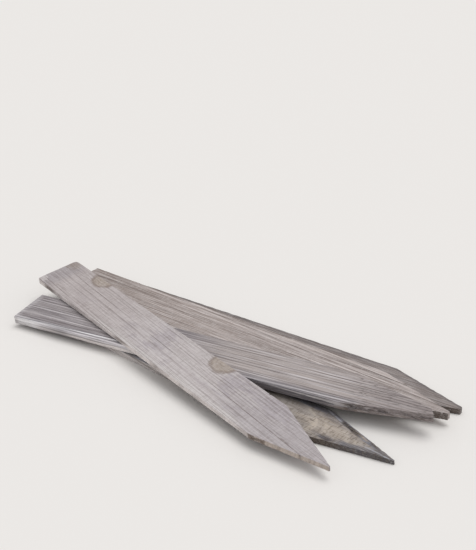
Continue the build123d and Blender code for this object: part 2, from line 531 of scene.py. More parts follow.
@dataclass(frozen=True)
class RoundMark(Effect):
    """One soft mark at a given place, with a ragged outline. Its sizes are from its centre."""

    title: ClassVar[str] = "round_mark"
    vectors: ClassVar[Names] = ("frame", "centre")
    numbers: ClassVar[Names] = ("length", "breadth", "ragged", "seed")

    waver: Clouds = Clouds(9.0, 1.6, 3.0)
    core: float = 0.45

    def reach(self, graph: Graph, given: Any, ragged: Any) -> Socket:
        """Measures the way out from the centre.

        Args:
            graph: The group's nodes.
            given: The group's inputs, by name.
            ragged: How far the outline strays.

        Returns:
            The distance from the centre, which is 1 on the outline.
        """
        along, across, _ = graph.away(given["frame"], given["centre"])
        far = graph.math("DIVIDE", along, given["length"])
        wide = graph.math("DIVIDE", across, given["breadth"])
        waver = self.waver.over(graph, given["frame"], given["seed"])
        return graph.total(graph.math("SQRT", graph.squares(far, wide)), graph.swing(waver, ragged))

    def lay_out(self, graph: Graph, given: Any) -> dict[str, Socket]:
        """Builds the mark's mask and returns it by name."""
        return {"mask": graph.fall(self.reach(graph, given, given["ragged"]), self.core, 1.0)}


@dataclass(frozen=True)
class HalfKnot(RoundMark):
    """A knot cut through by the stake's edge: a heart, a dark outer line and faint rings inside."""

    title: ClassVar[str] = "half_knot"
    numbers: ClassVar[Names] = ("length", "breadth", "seed")
    results: ClassVar[Names] = ("heart", "rim", "rings")

    waver: Clouds = Clouds(5.0, 4.0)
    core: float = 0.84
    ragged: float = 0.22
    rim_reach: float = 0.26
    ring_count: float = 3.6

    def lay_out(self, graph: Graph, given: Any) -> dict[str, Socket]:
        """Builds the knot's masks from the distance to its centre.

        Args:
            graph: The group's nodes.
            given: The group's inputs, by name.

        Returns:
            The heart, rim and rings masks.
        """
        reach = self.reach(graph, given, self.ragged)
        heart = graph.fall(reach, self.core, 1.0)
        off_rim = graph.math("ABSOLUTE", graph.math("SUBTRACT", reach, 1.0))
        turns = graph.math("SINE", graph.product(reach, self.ring_count, math.tau))
        return {
            "heart": heart,
            "rim": graph.fall(off_rim, 0.0, self.rim_reach),
            "rings": graph.product(graph.ramp(turns, 0.0, 1.0), heart),
        }


@dataclass(frozen=True)
class StraightStreak(Effect):
    """One long thin streak, such as a painted highlight on a ridge, a split or a chipped run. Its sizes are
    from its centre.
    """

    title: ClassVar[str] = "straight_streak"
    vectors: ClassVar[Names] = ("frame", "centre")
    numbers: ClassVar[Names] = ("slope", "length", "breadth", "ragged", "seed")

    waver: Clouds = Clouds(9.0, 3.0)
    core: float = 0.4
    whole_share: float = 0.6

    def lay_out(self, graph: Graph, given: Any) -> dict[str, Socket]:
        """Builds the streak's mask from the distance to its middle line.

        Args:
            graph: The group's nodes.
            given: The group's inputs, by name.

        Returns:
            The streak's mask.
        """
        along, across, _ = graph.away(given["frame"], given["centre"])
        waver = self.waver.over(graph, given["frame"], given["seed"])
        climb = graph.product(along, given["slope"], -1.0)
        off = graph.total(across, climb, graph.swing(waver, given["ragged"]))
        side = graph.math("DIVIDE", graph.math("ABSOLUTE", off), given["breadth"])
        reach = graph.math("DIVIDE", graph.math("ABSOLUTE", along), given["length"])
        within = graph.fall(side, self.core, 1.0)
        return {"mask": graph.product(within, graph.fall(reach, self.whole_share, 1.0))}


@dataclass(frozen=True)
class DryingChecks(Effect):
    """Short dark cracks along the grain, and the fine ripple that the saw left across it."""

    title: ClassVar[str] = "drying_checks"
    numbers: ClassVar[Names] = ("ring", "cover", "seed")
    results: ClassVar[Names] = ("along", "across", "crest")

    crack_rate: float = 2.1
    crack_detail: float = 1.0
    crack_half: float = 0.035
    patches: Clouds = Clouds(24.0, 5.0, 3.0)
    cover: Cover = Cover(0.78, 0.5, 0.06)
    ripple: Clouds = Clouds(1.3, 5.0)
    hollow: Step = Step(0.54, 0.64)
    crest: Step = Step(0.36, 0.46)

    def lay_out(self, graph: Graph, given: Any) -> dict[str, Socket]:
        """Builds the cracks where the noise crosses its middle value, inside patches.

        Args:
            graph: The group's nodes.
            given: The group's inputs, by name.

        Returns:
            The masks of the cracks along the grain, and of the ripple's hollows and crests.
        """
        place, seed = given["frame"], given["seed"]
        running = graph.product(graph.total(given["ring"], seed), self.crack_rate)
        wave = graph.noise(running, self.crack_detail, along=True)
        crack = graph.fall(graph.math("ABSOLUTE", graph.from_middle(wave)), 0.0, self.crack_half)
        patch = self.cover.shown(graph, self.patches.over(graph, place, seed), given["cover"])
        ripple = self.ripple.over(graph, place, seed)
        return {
            "along": graph.product(crack, patch),
            "across": self.hollow.rise(graph, ripple),
            "crest": self.crest.fall(graph, ripple),
        }


@dataclass(frozen=True)
class MouldSpecks(Effect):
    """Fine dark specks that old outdoor wood gathers along its fibres."""

    title: ClassVar[str] = "mould_specks"
    numbers: ClassVar[Names] = ("cover", "seed")

    specks: Clouds = Clouds(1.5, 0.5)
    cover: Cover = Cover(0.80, 0.4, 0.08)
    swarms: Clouds = Clouds(30.0, 7.0)
    swarm: Step = Step(0.40, 0.65)

    def lay_out(self, graph: Graph, given: Any) -> dict[str, Socket]:
        """Builds the specks from fine noise, thicker in some places than in others.

        Args:
            graph: The group's nodes.
            given: The group's inputs, by name.

        Returns:
            The specks' mask.
        """
        place, seed = given["frame"], given["seed"]
        speck = self.cover.shown(graph, self.specks.over(graph, place, seed), given["cover"])
        swarm = self.swarm.rise(graph, self.swarms.over(graph, place, seed))
        return {"mask": graph.product(speck, swarm)}


GRAIN_LINES = GrainLines()
EDGE_STAIN_AND_SHADING = EdgeStainAndShading()
WEATHER_PATCH = WeatherPatch()
ROUND_MARK = RoundMark()
HALF_KNOT = HalfKnot()
STRAIGHT_STREAK = StraightStreak()
DRYING_CHECKS = DryingChecks()
MOULD_SPECKS = MouldSpecks()


@dataclass(frozen=True)
class Marks:
    """The sockets by which a finish knows where it is on a stake, and the stake's own seed."""

    place: Socket
    ring: Socket
    along: Socket
    height: Socket
    far_rim: Socket
    near_rim: Socket
    sawn_end: Socket
    point: Socket
    near_face: Socket
    near_foot: Socket
    on_near_face: Socket
    seed: float

    TURN_REACH: ClassVar[float] = 10.0
    SIDE: ClassVar[Step] = Step(-0.7, -0.3)

    @classmethod
    def read(cls, graph: Graph, length: float, seed: float) -> "Marks":
        """Reads a stake's own marks in a material.

        Args:
            graph: The material's nodes.
            length: The stake's length in mm.
            seed: A shift that makes each stake differ.

        Returns:
            The marks: distances in mm, and for a face the turn away from it.
        """
        place = graph.mark("stake_frame").outputs["Vector"]
        along, _, height = graph.parts(place)
        far_rim, near_rim, sawn_end = graph.parts(graph.mark("margin").outputs["Vector"])
        facing_across = graph.parts(graph.mark("facing").outputs["Vector"])[1]
        turn = graph.product(graph.total(facing_across, 1.0), cls.TURN_REACH)
        return cls(
            place=place,
            ring=graph.mark("ring").outputs["Fac"],
            along=along,
            height=height,
            far_rim=far_rim,
            near_rim=near_rim,
            sawn_end=sawn_end,
            point=graph.math("SUBTRACT", length, along),
            near_face=turn,
            near_foot=graph.total(turn, height),
            on_near_face=cls.SIDE.fall(graph, facing_across),
            seed=seed,
        )


@dataclass(frozen=True)
class StainAndShading:
    """One stain, or one painted shade or highlight, on a stake. Lengths are in mm, from the sawn end,
    mid-width and the underside.
    """

    colour: Colour
    strength: float
    breadth: float = 4.0
    ragged: float = 1.5
    seed: float = 0.0

    effect: ClassVar[Effect]

    def placed(self, graph: Graph, marks: Marks) -> dict[str, Any]:
        """Returns the effect's inputs that depend on the stake."""
        return {"frame": marks.place, "seed": self.seed + marks.seed}

    def mask(self, graph: Graph, marks: Marks) -> Socket:
        """Gives the mark's mask.

        Args:
            graph: The material's nodes.
            marks: Where the shader is on the stake.

        Returns:
            The mask's socket.
        """
        own = {name: value for name, value in vars(self).items() if name in self.effect.numbers}
        return self.effect.place(graph, **own | self.placed(graph, marks))["mask"]


@dataclass(frozen=True)
class Run(StainAndShading):
    """A stain or painted shading over a stretch of the stake's length."""

    start: float = -10.0
    end: float = 400.0
    fade: float = 15.0


@dataclass(frozen=True)
class Patches(Run):
    """Cloudy patches over a stretch."""

    length: float = 60.0
    cover: float = 0.5

    effect: ClassVar[Effect] = WEATHER_PATCH


@dataclass(frozen=True)
class EdgeRun(Run):
    """A stain or painted shading that follows what one of the marks measures the distance to."""

    inner: float = 0.45

    effect: ClassVar[Effect] = EDGE_STAIN_AND_SHADING
    follows: ClassVar[str]

    def placed(self, graph: Graph, marks: Marks) -> dict[str, Any]:
        """Returns the effect's inputs that depend on the stake, with the distance."""
        return super().placed(graph, marks) | {"distance": getattr(marks, self.follows)}


class FarRim(EdgeRun):
    """A stain along the far edge."""

    follows = "far_rim"


class NearRim(EdgeRun):
    """A stain or painted light along the near edge."""

    follows = "near_rim"


class SawnEnd(EdgeRun):
    """A stain from the sawn end inwards."""

    follows = "sawn_end"


class Point(EdgeRun):
    """A stain from the point backwards."""

    follows = "point"


@dataclass(frozen=True)
class NearFace(EdgeRun):
    """A stain, painted shade or painted light on the face towards the viewer."""

    breadth: float = 6.0

    follows: ClassVar[str] = "near_face"


class NearFoot(EdgeRun):
    """A stain along the foot of the near face."""

    follows = "near_foot"


@dataclass(frozen=True, kw_only=True)
class Spot(StainAndShading):
    """A stain or painted highlight at one place. Its length and breadth are from its middle."""

    along: float
    across: float
    length: float
    slope: float = 0.0

    def placed(self, graph: Graph, marks: Marks) -> dict[str, Any]:
        """Returns the effect's inputs that depend on the stake, with the mark's centre."""
        return super().placed(graph, marks) | {"centre": (self.along, self.across, 0.0)}


class Mark(Spot):
    """One soft mark."""

    effect = ROUND_MARK


class Streak(Spot):
    """One long thin streak."""

    effect = STRAIGHT_STREAK


class NearStreak(Streak):
    """A streak in the near face, where across counts up from the underside."""

    def placed(self, graph: Graph, marks: Marks) -> dict[str, Any]:
        """Returns the effect's inputs that depend on the stake, in the near face's own plane."""
        return super().placed(graph, marks) | {"frame": graph.joined(marks.along, marks.height, 0.0)}

    def mask(self, graph: Graph, marks: Marks) -> Socket:
        """Returns the streak's mask, kept to the near face."""
        return graph.product(super().mask(graph, marks), marks.on_near_face)


@dataclass(frozen=True)
class Knot:
    """A knot that the stake's far edge cuts through. Its sizes are from its centre, in mm."""

    along: float
    across: float
    length: float
    breadth: float


@dataclass(frozen=True)
class WoodFinish:
    """The weathered surface of one stake."""

    body: Colour
    second: Colour
    line: Colour
    groove: Colour
    crack: Colour = Colour(62, 54, 50)
    speck: Colour = Colour(84, 78, 76)
    heart: Colour = Colour(172, 160, 150)
    knot_rim: Colour = Colour(128, 112, 100)
    fibre_dark: Colour = Colour(120, 110, 106)
    fibre_light: Colour = Colour(206, 200, 198)
    line_strength: float = 0.7
    hair_strength: float = 0.45
    fibre_strength: float = 0.35
    groove_strength: float = 0.6
    crack_strength: float = 0.7
    cross_strength: float = 0.0
    crest_strength: float = 0.0
    cross_from: float = -20.0
    speck_strength: float = 0.4
    crack_cover: float = 0.35
    speck_cover: float = 0.4
    stains: tuple[StainAndShading, ...] = ()
    knots: tuple[Knot, ...] = ()

    CROSS_FADE: ClassVar[float] = 15.0
    FIBRE_LOW: ClassVar[float] = 0.34
    FIBRE_MIDDLE: ClassVar[float] = 0.5
    FIBRE_HIGH: ClassVar[float] = 0.66
    RING_TONE: ClassVar[float] = 0.35
    RIM_TONE: ClassVar[float] = 0.75
    SHEEN_LEVEL: ClassVar[float] = 0.25
    ROUGHNESS_LOW: ClassVar[float] = 0.72
    ROUGHNESS_HIGH: ClassVar[float] = 0.94
    BUMP_STRENGTH: ClassVar[float] = 0.5
    BUMP_HEIGHT: ClassVar[float] = 0.25

    def with_knots(self, graph: Graph, marks: Marks, colour: Socket) -> Socket:
        """Lays the knots over the wood's colour.

        Args:
            graph: The material's nodes.
            marks: Where the shader is on the stake.
            colour: The colour so far.

        Returns:
            The colour with the knots in it.
        """
        for count, knot in enumerate(self.knots):
            parts = HALF_KNOT.place(
                graph,
                frame=marks.place,
                centre=(knot.along, knot.across, 0.0),
                length=knot.length,
                breadth=knot.breadth,
                seed=marks.seed + count,
            )
            colour = graph.painted(colour, parts["heart"], 1.0, self.heart)
            colour = graph.painted(colour, parts["rings"], self.RING_TONE, self.knot_rim)
            colour = graph.painted(colour, parts["rim"], self.RIM_TONE, self.knot_rim)
        return colour

    def surface(self, graph: Graph, colour: Socket, fibre: Socket, worn: Socket) -> None:
        """Ends a material with its shader.

        Args:
            graph: The material's nodes.
            colour: The wood's colour.
            fibre: The fibres, which stand up.
            worn: The lines, grooves and cracks, which lie deeper.
        """
        bump = graph.node("ShaderNodeBump")
        graph.wire(bump, {
            "Strength": self.BUMP_STRENGTH,
            "Distance": self.BUMP_HEIGHT * MM,
            "Height": graph.math("SUBTRACT", fibre, worn),
        })
        smooth = (self.FIBRE_LOW, self.FIBRE_HIGH, self.ROUGHNESS_HIGH, self.ROUGHNESS_LOW)
        shader = graph.node("ShaderNodeBsdfPrincipled")
        graph.wire(shader, {
            "Base Color": colour,
            "Roughness": graph.ramp(fibre, *smooth),
            "Specular IOR Level": self.SHEEN_LEVEL,
            "Normal": bump.outputs["Normal"],
        })
        graph.wire(graph.node("ShaderNodeOutputMaterial"), {"Surface": shader.outputs["BSDF"]})

    def material(self, name: str, length: float, seed: float) -> bpy.types.Material:
        """Builds the finish's material.

        Args:
            name: The material's name.
            length: The stake's length in mm.
            seed: A shift that makes each stake differ.

        Returns:
            The material.
        """
        material = bpy.data.materials.new(name)
        material.use_nodes = True
        material.node_tree.nodes.clear()
        graph = Graph(material.node_tree)
        marks = Marks.read(graph, length, seed)
        here = {"frame": marks.place, "seed": seed}
        grain = GRAIN_LINES.place(graph, ring=marks.ring, **here)
        checks = DRYING_CHECKS.place(graph, ring=marks.ring, cover=self.crack_cover, **here)
        specks = MOULD_SPECKS.place(graph, cover=self.speck_cover, **here)
        fibre = grain["fibre"]
        dark = graph.ramp(fibre, self.FIBRE_LOW, self.FIBRE_MIDDLE, self.fibre_strength, 0.0)
        light = graph.ramp(fibre, self.FIBRE_MIDDLE, self.FIBRE_HIGH, 0.0, self.fibre_strength)
        sawn = graph.ramp(marks.along, self.cross_from - self.CROSS_FADE, self.cross_from)

        colour = graph.mix(grain["tone"], self.body.linear(), self.second.linear())
        for stain_and_shading in self.stains:
            colour = graph.painted(colour, stain_and_shading.mask(graph, marks), stain_and_shading.strength, stain_and_shading.colour)
        colour = graph.painted(colour, grain["line"], self.line_strength, self.line)
        colour = graph.painted(colour, grain["hair"], self.hair_strength, self.line)
        colour = self.with_knots(graph, marks, colour)
        for mask, strength, paint in (
            (grain["groove"], self.groove_strength, self.groove),
            (dark, 1.0, self.fibre_dark),
            (light, 1.0, self.fibre_light),
            (specks["mask"], self.speck_strength, self.speck),
            (checks["along"], self.crack_strength, self.crack),
            (graph.product(checks["across"], sawn), self.cross_strength, self.groove),
            (graph.product(checks["crest"], sawn), self.crest_strength, self.fibre_light),
        ):
            colour = graph.painted(colour, mask, strength, paint)
        self.surface(graph, colour, fibre, graph.total(grain["hair"], grain["groove"], checks["along"]))
        return material


@dataclass(frozen=True)
class Grain:
    """Where the tree's middle lay beside a stake, and how its rings stand out. Lengths are in mm."""

    pith_across: float
    pith_below: float
    ring_spacing: float
    wander: float
    groove_depth: float
    fibre_depth: float
    edge_wear: float
    seed: float
    pith_climb: float = 0.0
    slope: float = 0.0
    ring_offset: float = 0.0


@dataclass(frozen=True)
class WeatheredRelief:
    """Geometry nodes that wear soft rings, fibres and edges down into a stake's surface."""

    title: ClassVar[str] = "weathered_relief"
    knots: ClassVar[Names] = ("first_knot", "second_knot")
    directions: ClassVar[Names] = ("along", "across", "up")

    wander: Clouds = Clouds(95.0, 16.0)
    knot_push: float = 0.3
    knot_stretch: float = 1.1
    fibres: Clouds = Clouds(14.0, 0.9)
    wear_reach: float = 1.6
    bites: Clouds = Clouds(7.0, 2.2)
    bite: Step = Step(0.40, 0.75)
    end_gain: float = 1.6

    def inputs(self) -> dict[str, str]:
        """Lists the sockets that a stake's modifier sets.

        Returns:
            Their types, by name.
        """
        numbers = dict.fromkeys((part.name for part in fields(Grain)), NUMBER)
        vectors = dict.fromkeys(self.knots + self.directions, VECTOR)
        return {"Geometry": GEOMETRY} | numbers | vectors | {"material": "NodeSocketMaterial"}

    def named(self, graph: Graph, name: str) -> Socket:
        """Returns a vector attribute of the mesh that the tree works on."""
        node = graph.node("GeometryNodeInputNamedAttribute", data_type="FLOAT_VECTOR")
        return graph.wire(node, {"Name": name}).outputs["Attribute"]

    def stored(self, graph: Graph, mesh: Socket, name: str, value: Socket, kind: str) -> Socket:
        """Keeps a value on the mesh's points.

        Args:
            graph: The tree's nodes.
            mesh: The mesh so far.
            name: The attribute's name.
            value: What is kept.
            kind: The attribute's data type.

        Returns:
            The mesh with the attribute.
        """
        node = graph.node("GeometryNodeStoreNamedAttribute", data_type=kind, domain="POINT")
        graph.wire(node, {"Geometry": mesh, "Name": name})
        graph.feed(next(s for s in node.inputs if s.name == "Value" and s.enabled), value)
        return node.outputs["Geometry"]

    def knot_swerve(self, graph: Graph, place: Socket, knot: Socket) -> Socket:
        """Gives how far a knot pushes the rings aside.

        Args:
            graph: The tree's nodes.
            place: The place on the stake, in mm.
            knot: The knot's place along and across, and its radius, in mm.

        Returns:
            The push across the stake, in mm.
        """
        along, across, _ = graph.away(place, knot)
        radius = graph.math("MAXIMUM", graph.parts(knot)[2], MM)
        spread = graph.product(radius, self.knot_stretch)
        square = graph.squares(graph.math("DIVIDE", along, spread), graph.math("DIVIDE", across, spread))
        fall = graph.math("EXPONENT", graph.product(square, -1.0))
        return graph.product(fall, radius, self.knot_push)

    def ring_count(self, graph: Graph, given: Any, place: Socket) -> Socket:
        """Counts the rings out from the tree's middle.

        Args:
            graph: The tree's nodes.
            given: The tree's inputs, by name.
            place: The place on the stake, in mm.

        Returns:
            The number of rings from the middle.
        """
        along, across, up = graph.parts(place)
        aside = graph.total(
            graph.math("SUBTRACT", across, given["pith_across"]),
            graph.product(along, given["slope"], -1.0),
            graph.swing(self.wander.over(graph, place, given["seed"]), given["wander"]),
            *(self.knot_swerve(graph, place, given[knot]) for knot in self.knots),
        )
        below = graph.total(up, given["pith_below"], graph.product(along, given["pith_climb"]))
        radius = graph.math("SQRT", graph.squares(aside, below))
        return graph.total(graph.math("DIVIDE", radius, given["ring_spacing"]), given["ring_offset"])

    def worn_depth(self, graph: Graph, given: Any, place: Socket, ring: Socket, on_end: Socket) -> Socket:
        """Gives how far the surface has worn down.

        Args:
            graph: The tree's nodes.
            given: The tree's inputs, by name.
            place: The place on the stake, in mm.
            ring: The number of rings from the tree's middle.
            on_end: How squarely the surface faces along the stake.

        Returns:
            The shift along the surface's normal, in metres.
        """
        seed = given["seed"]
        far, near, sawn = graph.parts(self.named(graph, "margin"))
        edge = graph.math("MINIMUM", graph.math("MINIMUM", far, near), sawn)
        at_edge = graph.math("EXPONENT", graph.math("DIVIDE", edge, -self.wear_reach))
        bites = self.bite.rise(graph, self.bites.over(graph, place, seed))
        depth = graph.total(
            graph.product(WORN_RINGS.grooves(graph, place, ring, seed), given["groove_depth"]),
            graph.product(self.fibres.over(graph, place, seed), given["fibre_depth"]),
            graph.product(at_edge, bites, given["edge_wear"]),
        )
        return graph.product(depth, graph.total(graph.product(on_end, self.end_gain), 1.0), -MM)

    def build(self) -> bpy.types.NodeTree:
        """Builds the tree, once for all stakes.

        Returns:
            The geometry node tree.
        """
        known = bpy.data.node_groups.get(self.title)
        if known is not None:
            return known
        graph = Graph.opened(self.title, "GeometryNodeTree", self.inputs(), {"Geometry": GEOMETRY})
        given = graph.node("NodeGroupInput").outputs
        place = self.named(graph, "stake_frame")
        normal = graph.node("GeometryNodeInputNormal").outputs["Normal"]
        turns = [graph.vector("DOT_PRODUCT", normal, given[way]).outputs["Value"] for way in self.directions]
        ring = self.ring_count(graph, given, place)
        depth = self.worn_depth(graph, given, place, ring, graph.math("ABSOLUTE", turns[0]))

        mesh = self.stored(graph, given["Geometry"], "ring", ring, "FLOAT")
        mesh = self.stored(graph, mesh, "facing", graph.joined(*turns), "FLOAT_VECTOR")
        offset = graph.wire(graph.vector("SCALE", normal), {"Scale": depth}).outputs[0]
        for kind, values in (
            ("GeometryNodeSetPosition", {"Offset": offset}),
            ("GeometryNodeRealizeInstances", {}),
            ("GeometryNodeSetMaterial", {"Material": given["material"]}),
        ):
            mesh = graph.wire(graph.node(kind), {"Geometry": mesh} | values).outputs["Geometry"]
        graph.wire(graph.node("NodeGroupOutput"), {"Geometry": mesh})
        return graph.tree


RELIEF = WeatheredRelief()


class Shaping(Enum):
    """How a stake's fine blank takes over the forms of its solid."""

    PLAIN = "a plain blank"
    FOLLOW_TOP = "its top follows the solid's top"
    CUT_TO_SOLID = "it is cut to the solid"


@dataclass(frozen=True)
class StakeFrame:
    """A stake's own directions and outline, measured from its solid. Lengths are in mm."""

    origin: np.ndarray
    along: np.ndarray
    across: np.ndarray
    up: np.ndarray
    length: float
    thickness: float
    near: np.ndarray
    far: np.ndarray

    UPRIGHT: ClassVar[float] = 0.2
    SAWN_SHARE: ClassVar[float] = 0.3
    FINE_PLACES: ClassVar[int] = 2
    STRAIGHT_WITHIN: ClassVar[float] = 0.008
    SLOPE_REACH: ClassVar[float] = 0.5

    @classmethod
    def measure(cls, solid: bpy.types.Object) -> "StakeFrame":
        """Finds a stake's directions, thickness and outline.

        Args:
            solid: The stake's CAD node.

        Returns:
            The measured frame.
        """
        mesh = solid.data
        points = np.array([vertex.co for vertex in mesh.vertices]) / MM
        faces = sorted(mesh.polygons, key=lambda face: face.area, reverse=True)
        up = np.array(faces[0].normal)
        up = up * np.sign(up[2])
        side = next(face for face in faces if abs(np.dot(face.normal, up)) < cls.UPRIGHT)
        across = np.array(side.normal)
        across = across - up * np.dot(across, up)
        across = across * np.sign(across[1]) / np.linalg.norm(across)
        along = np.cross(across, up)

        own = np.column_stack([points @ along, points @ across, points @ up])
        low, high = own.min(axis=0), own.max(axis=0)
        start = np.array([low[0], (low[1] + high[1]) / 2.0, low[2]])
        origin = start[0] * along + start[1] * across + start[2] * up
        plan = np.unique(np.round(own[:, :2] - start[:2], cls.FINE_PLACES), axis=0)
        hull = cls.cornered(plan[convex_hull_2d([tuple(point) for point in plan])])
        near, far = cls.chains(hull, high[1] - low[1])
        return cls(origin, along, across, up, high[0] - low[0], high[2] - low[2], near, far)

    @classmethod
    def cornered(cls, hull: np.ndarray) -> np.ndarray:
        """Drops the points that lie on a straight run between their neighbours.

        Args:
            hull: The outline's points in order, along and across.

        Returns:
            The points where the outline turns.
        """
        before, after = np.roll(hull, 1, axis=0), np.roll(hull, -1, axis=0)
        run, step = after - before, hull - before
        off = np.abs(run[:, 0] * step[:, 1] - run[:, 1] * step[:, 0]) / np.hypot(run[:, 0], run[:, 1])
        return hull[off > cls.STRAIGHT_WITHIN]

    @classmethod
    def chains(cls, hull: np.ndarray, width: float) -> tuple[np.ndarray, np.ndarray]:
        """Splits an outline into its near and far sides, each from the sawn end to the point.

        Args:
            hull: The outline's corners in order, along and across.
            width: The stake's width.

        Returns:
            The near side's and the far side's corners.
        """
        ahead = np.roll(hull, -1, axis=0)
        middle = (hull + ahead) / 2.0
        span = np.abs(ahead - hull)
        cross = np.flatnonzero(span[:, 1] > span[:, 0])
        wide = [i for i in cross if span[i, 1] > cls.SAWN_SHARE * width]
        sawn = min(wide, key=lambda i: middle[i, 0])
        tip = max(cross, key=lambda i: middle[i, 0])
        count = len(hull)
        one_way = [(sawn + 1 + k) % count for k in range((tip - sawn) % count)]
        other_way = [(sawn - k) % count for k in range((sawn - tip) % count)]
        sides = [hull[one_way], hull[other_way]]
        sides.sort(key=lambda side: side[:, 1].mean())
        return sides[0], sides[1]

    def world(self, own: np.ndarray) -> np.ndarray:
        """Returns points of the stake's own frame as metres in the row frame."""
        turned = own[..., 0:1] * self.along + own[..., 1:2] * self.across + own[..., 2:3] * self.up
        return (turned + self.origin) * MM

    def own(self, points: np.ndarray) -> np.ndarray:
        """Returns row-frame points in metres as the stake's own frame in mm."""
        away = points / MM - self.origin
        return np.column_stack([away @ self.along, away @ self.across, away @ self.up])

    def margins(self, own: np.ndarray) -> np.ndarray:
        """Measures how far points lie from the stake's edges.

        Args:
            own: Points in the stake's own frame.

        Returns:
            Distances to the far edge, the near edge and the sawn end, in mm.
        """
        result = []
        for side, sign in ((self.far, 1.0), (self.near, -1.0)):
            edge = np.interp(own[:, 0], side[:, 0], side[:, 1])
            ahead = np.interp(own[:, 0] + self.SLOPE_REACH, side[:, 0], side[:, 1])
            slope = (ahead - edge) / self.SLOPE_REACH
            result.append(np.maximum((edge - own[:, 1]) * sign / np.hypot(1.0, slope), 0.0))
        near_corner, far_corner = self.near[0], self.far[0]
        share = (own[:, 1] - near_corner[1]) / (far_corner[1] - near_corner[1])
        sawn = near_corner[0] + (far_corner[0] - near_corner[0]) * np.clip(share, 0.0, 1.0)
        result.append(np.maximum(own[:, 0] - sawn, 0.0))
        return np.column_stack(result)


@dataclass
class Stake:
    """One stake: its fine weathered mesh, shaped inside its solid, and its finish. Lengths are in mm."""

    node: str
    body: str
    slot: str
    grain: Grain
    finish: WoodFinish
    shaping: Shaping = Shaping.PLAIN
    inset: float = 0.05
    edge_radius: float = 0.45
    column_pitch: float = 0.80
    end_crowding: float = 0.5
    rows_on_face: int = 88
    rows_on_edge: int = 7
    steps_on_corner: int = 3
    sharp_turn: float = math.radians(50.0)
    measured: StakeFrame = field(init=False)

    MERGE: ClassVar[float] = 1e-6
    RAY_LIFT: ClassVar[float] = 5.0
    LEAST_TOP: ClassVar[float] = 0.5
    NO_KNOT: ClassVar[tuple[float, float, float]] = (0.0, 0.0, 0.0)

    def __post_init__(self) -> None:
        """Measures the stake's solid."""
        self.measured = StakeFrame.measure(self.solid())

    def solid(self) -> bpy.types.Object:
        """Returns the stake's CAD node."""
        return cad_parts[self.node]

    def keep(self) -> float:
        """Returns how far inside the outline the rounded corners have their centres."""
        return self.inset + self.edge_radius

    def rows(self) -> tuple[np.ndarray, np.ndarray, np.ndarray]:
        """Returns the shares across a face and up an edge, and the angles round a corner."""
        turn = np.linspace(0.0, QUARTER_TURN, self.steps_on_corner + 2)
        return np.linspace(0.0, 1.0, self.rows_on_face), np.linspace(0.0, 1.0, self.rows_on_edge), turn

    def section(self) -> np.ndarray:
        """Lays out one ring round the stake's cross section.

        Returns:
            For each ring point, its share of the width and of the height between the rounded
            corners, and its reach into the corner's radius across and up.
        """
        face, edge, turn = self.rows()
        turn = turn[1:-1]
        ring = [(share, 0.0, 0.0, -1.0) for share in face]
        ring += [(1.0, 0.0, math.sin(a), -math.cos(a)) for a in turn]
        ring += [(1.0, share, 1.0, 0.0) for share in edge]
        ring += [(1.0, 1.0, math.cos(a), math.sin(a)) for a in turn]
        ring += [(share, 1.0, 0.0, 1.0) for share in face[::-1]]
        ring += [(0.0, 1.0, -math.sin(a), math.cos(a)) for a in turn]
        ring += [(0.0, share, -1.0, 0.0) for share in edge[::-1]]
        ring += [(0.0, 0.0, -math.cos(a), -math.sin(a)) for a in turn]
        return np.array(ring)

    def stations(self) -> np.ndarray:
        """Lays out the rings along the stake.

        Returns:
            For each ring, its share of the length between the end roundings, its reach into the
            end's radius, and how much of the corner radius is left there.
        """
        turn = self.rows()[-1]
        even = np.linspace(0.0, 1.0, int(self.measured.length / self.column_pitch))
        eased = even - self.end_crowding * np.sin(math.tau * even) / math.tau
        stations = [(0.0, -math.cos(a), math.sin(a)) for a in turn[:-1]]
        stations += [(share, 0.0, 1.0) for share in eased]
        stations += [(1.0, math.sin(a), math.cos(a)) for a in turn[1:]]
        return np.array(stations)

    def side_at(self, chain: np.ndarray, share: np.ndarray, inward: float) -> np.ndarray:
        """Walks along one side of the outline.

        Args:
            chain: The side's corners from the sawn end to the point.
            share: Shares of the way along.
            inward: The direction across that leads into the stake.

        Returns:
            Points along and across, kept inside the outline by the inset and the edge radius.
        """
        start, stop = chain[0, 0] + self.keep(), chain[-1, 0] - self.keep()
        along = start + (stop - start) * share
        across = np.interp(along, chain[:, 0], chain[:, 1]) + inward * self.keep()
        return np.column_stack([along, across])

    def grid(self, ring: np.ndarray, stations: np.ndarray) -> np.ndarray:
        """Places ring points at stations of the stake.

        Args:
            ring: Ring points as section gives them.
            stations: Stations as the method of that name gives them.

        Returns:
            Points in the stake's own frame, one row for each station.
        """
        near = self.side_at(self.measured.near, stations[:, 0], 1.0)[:, None, :]
        far = self.side_at(self.measured.far, stations[:, 0], -1.0)[:, None, :]
        plan = near + (far - near) * ring[None, :, 0:1]
        radius = self.edge_radius * stations[:, None, 2]
        along = plan[..., 0] + self.edge_radius * stations[:, None, 1]
        across = plan[..., 1] + ring[None, :, 2] * radius
        between = self.top_at(along, across) - 2.0 * self.keep()
        up = self.keep() + between * ring[None, :, 1] + ring[None, :, 3] * radius
        return np.stack([along, across, up], axis=-1)

    def top_at(self, along: np.ndarray, across: np.ndarray) -> np.ndarray:
        """Finds the height of the stake's top over its underside.

        Args:
            along: Distances along the stake.
            across: Distances across it.

        Returns:
            The heights, in mm.
        """
        thickness = self.measured.thickness
        top = np.full(along.shape, thickness)
        if self.shaping is not Shaping.FOLLOW_TOP:
            return top
        mesh = self.solid().data
        corners = [vertex.co for vertex in mesh.vertices]
        tree = BVHTree.FromPolygons(corners, [face.vertices for face in mesh.polygons])
        height = np.full(along.shape, thickness + self.RAY_LIFT)
        above = self.measured.world(np.stack([along, across, height], axis=-1))
        down = Vector(-self.measured.up)
        for index in np.ndindex(along.shape):
            *_, distance = tree.ray_cast(Vector(above[index]), down)
            if distance is not None:
                top[index] = max(height[index] - distance / MM, thickness * self.LEAST_TOP)
        return top

